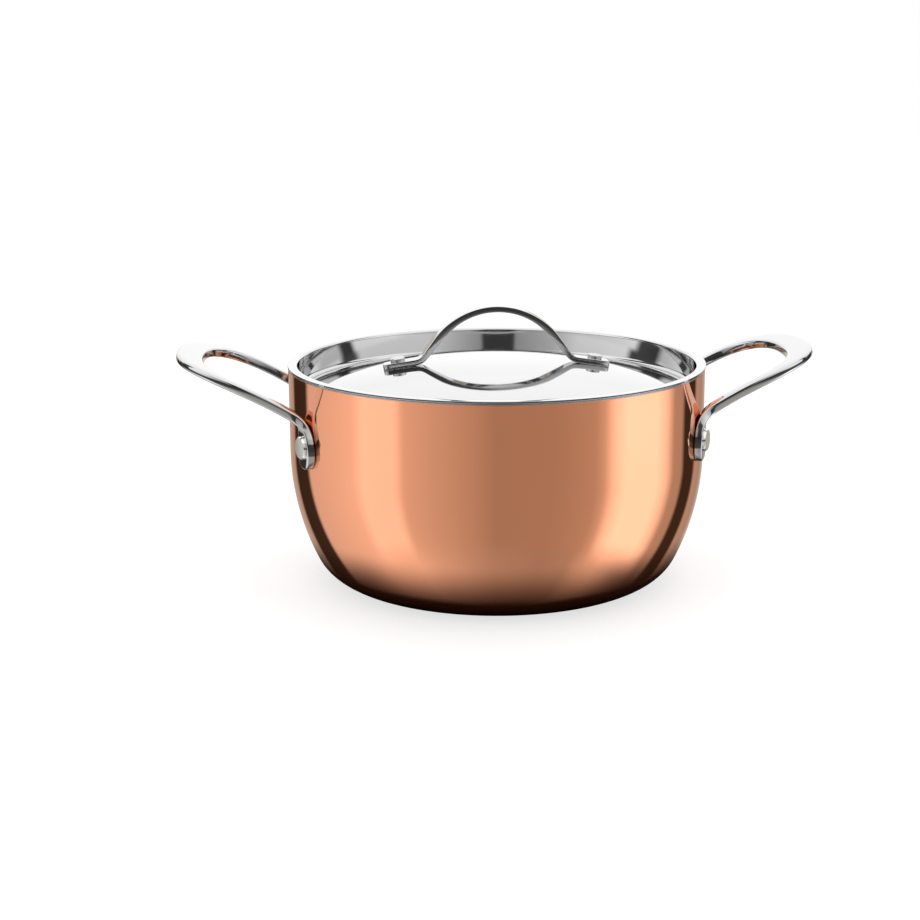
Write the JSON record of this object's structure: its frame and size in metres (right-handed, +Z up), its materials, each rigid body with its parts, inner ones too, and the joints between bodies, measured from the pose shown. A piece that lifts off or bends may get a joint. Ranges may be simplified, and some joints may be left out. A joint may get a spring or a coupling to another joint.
{
  "type": "cooking pot",
  "caption": "Round clad cooking pot with a flat base and flared lower wall, loop side handles riveted to the wall, and an inset domed lid with a strap handle that lifts off",
  "frame": {"origin": "centre of the flat base, on the surface the pot stands on", "axes": "+Z up out of the pot along its own axis, X along the line through the two side handles, -Y towards the front in the picture"},
  "size_m": [0.3136, 0.2068, 0.1362],
  "materials": {
    "copper": "polished copper",
    "core_aluminium": "as rolled",
    "liner_steel": "satin, brushed round the axis",
    "handle_steel": "polished stainless steel",
    "rivet_steel": "satin stainless steel",
    "lid_steel": "mirror polished stainless steel"
  },
  "bodies": {
    "pot": {"copper_shell": "copper", "aluminium_core": "core_aluminium", "steel_liner": "liner_steel", "left_handle": "handle_steel", "right_handle": "handle_steel", "left_front_rivet": "rivet_steel", "left_rear_rivet": "rivet_steel", "right_front_rivet": "rivet_steel", "right_rear_rivet": "rivet_steel"},
    "lid": {"lid_plate": "lid_steel", "lid_handle": "handle_steel", "lid_left_rivet": "rivet_steel", "lid_right_rivet": "rivet_steel"}
  },
  "joints": [
    {"name": "lid_lift", "type": "slide", "parent": "pot", "child": "lid", "axis": [0, 0, 1], "range_m": [0, 0.12]}
  ]
}
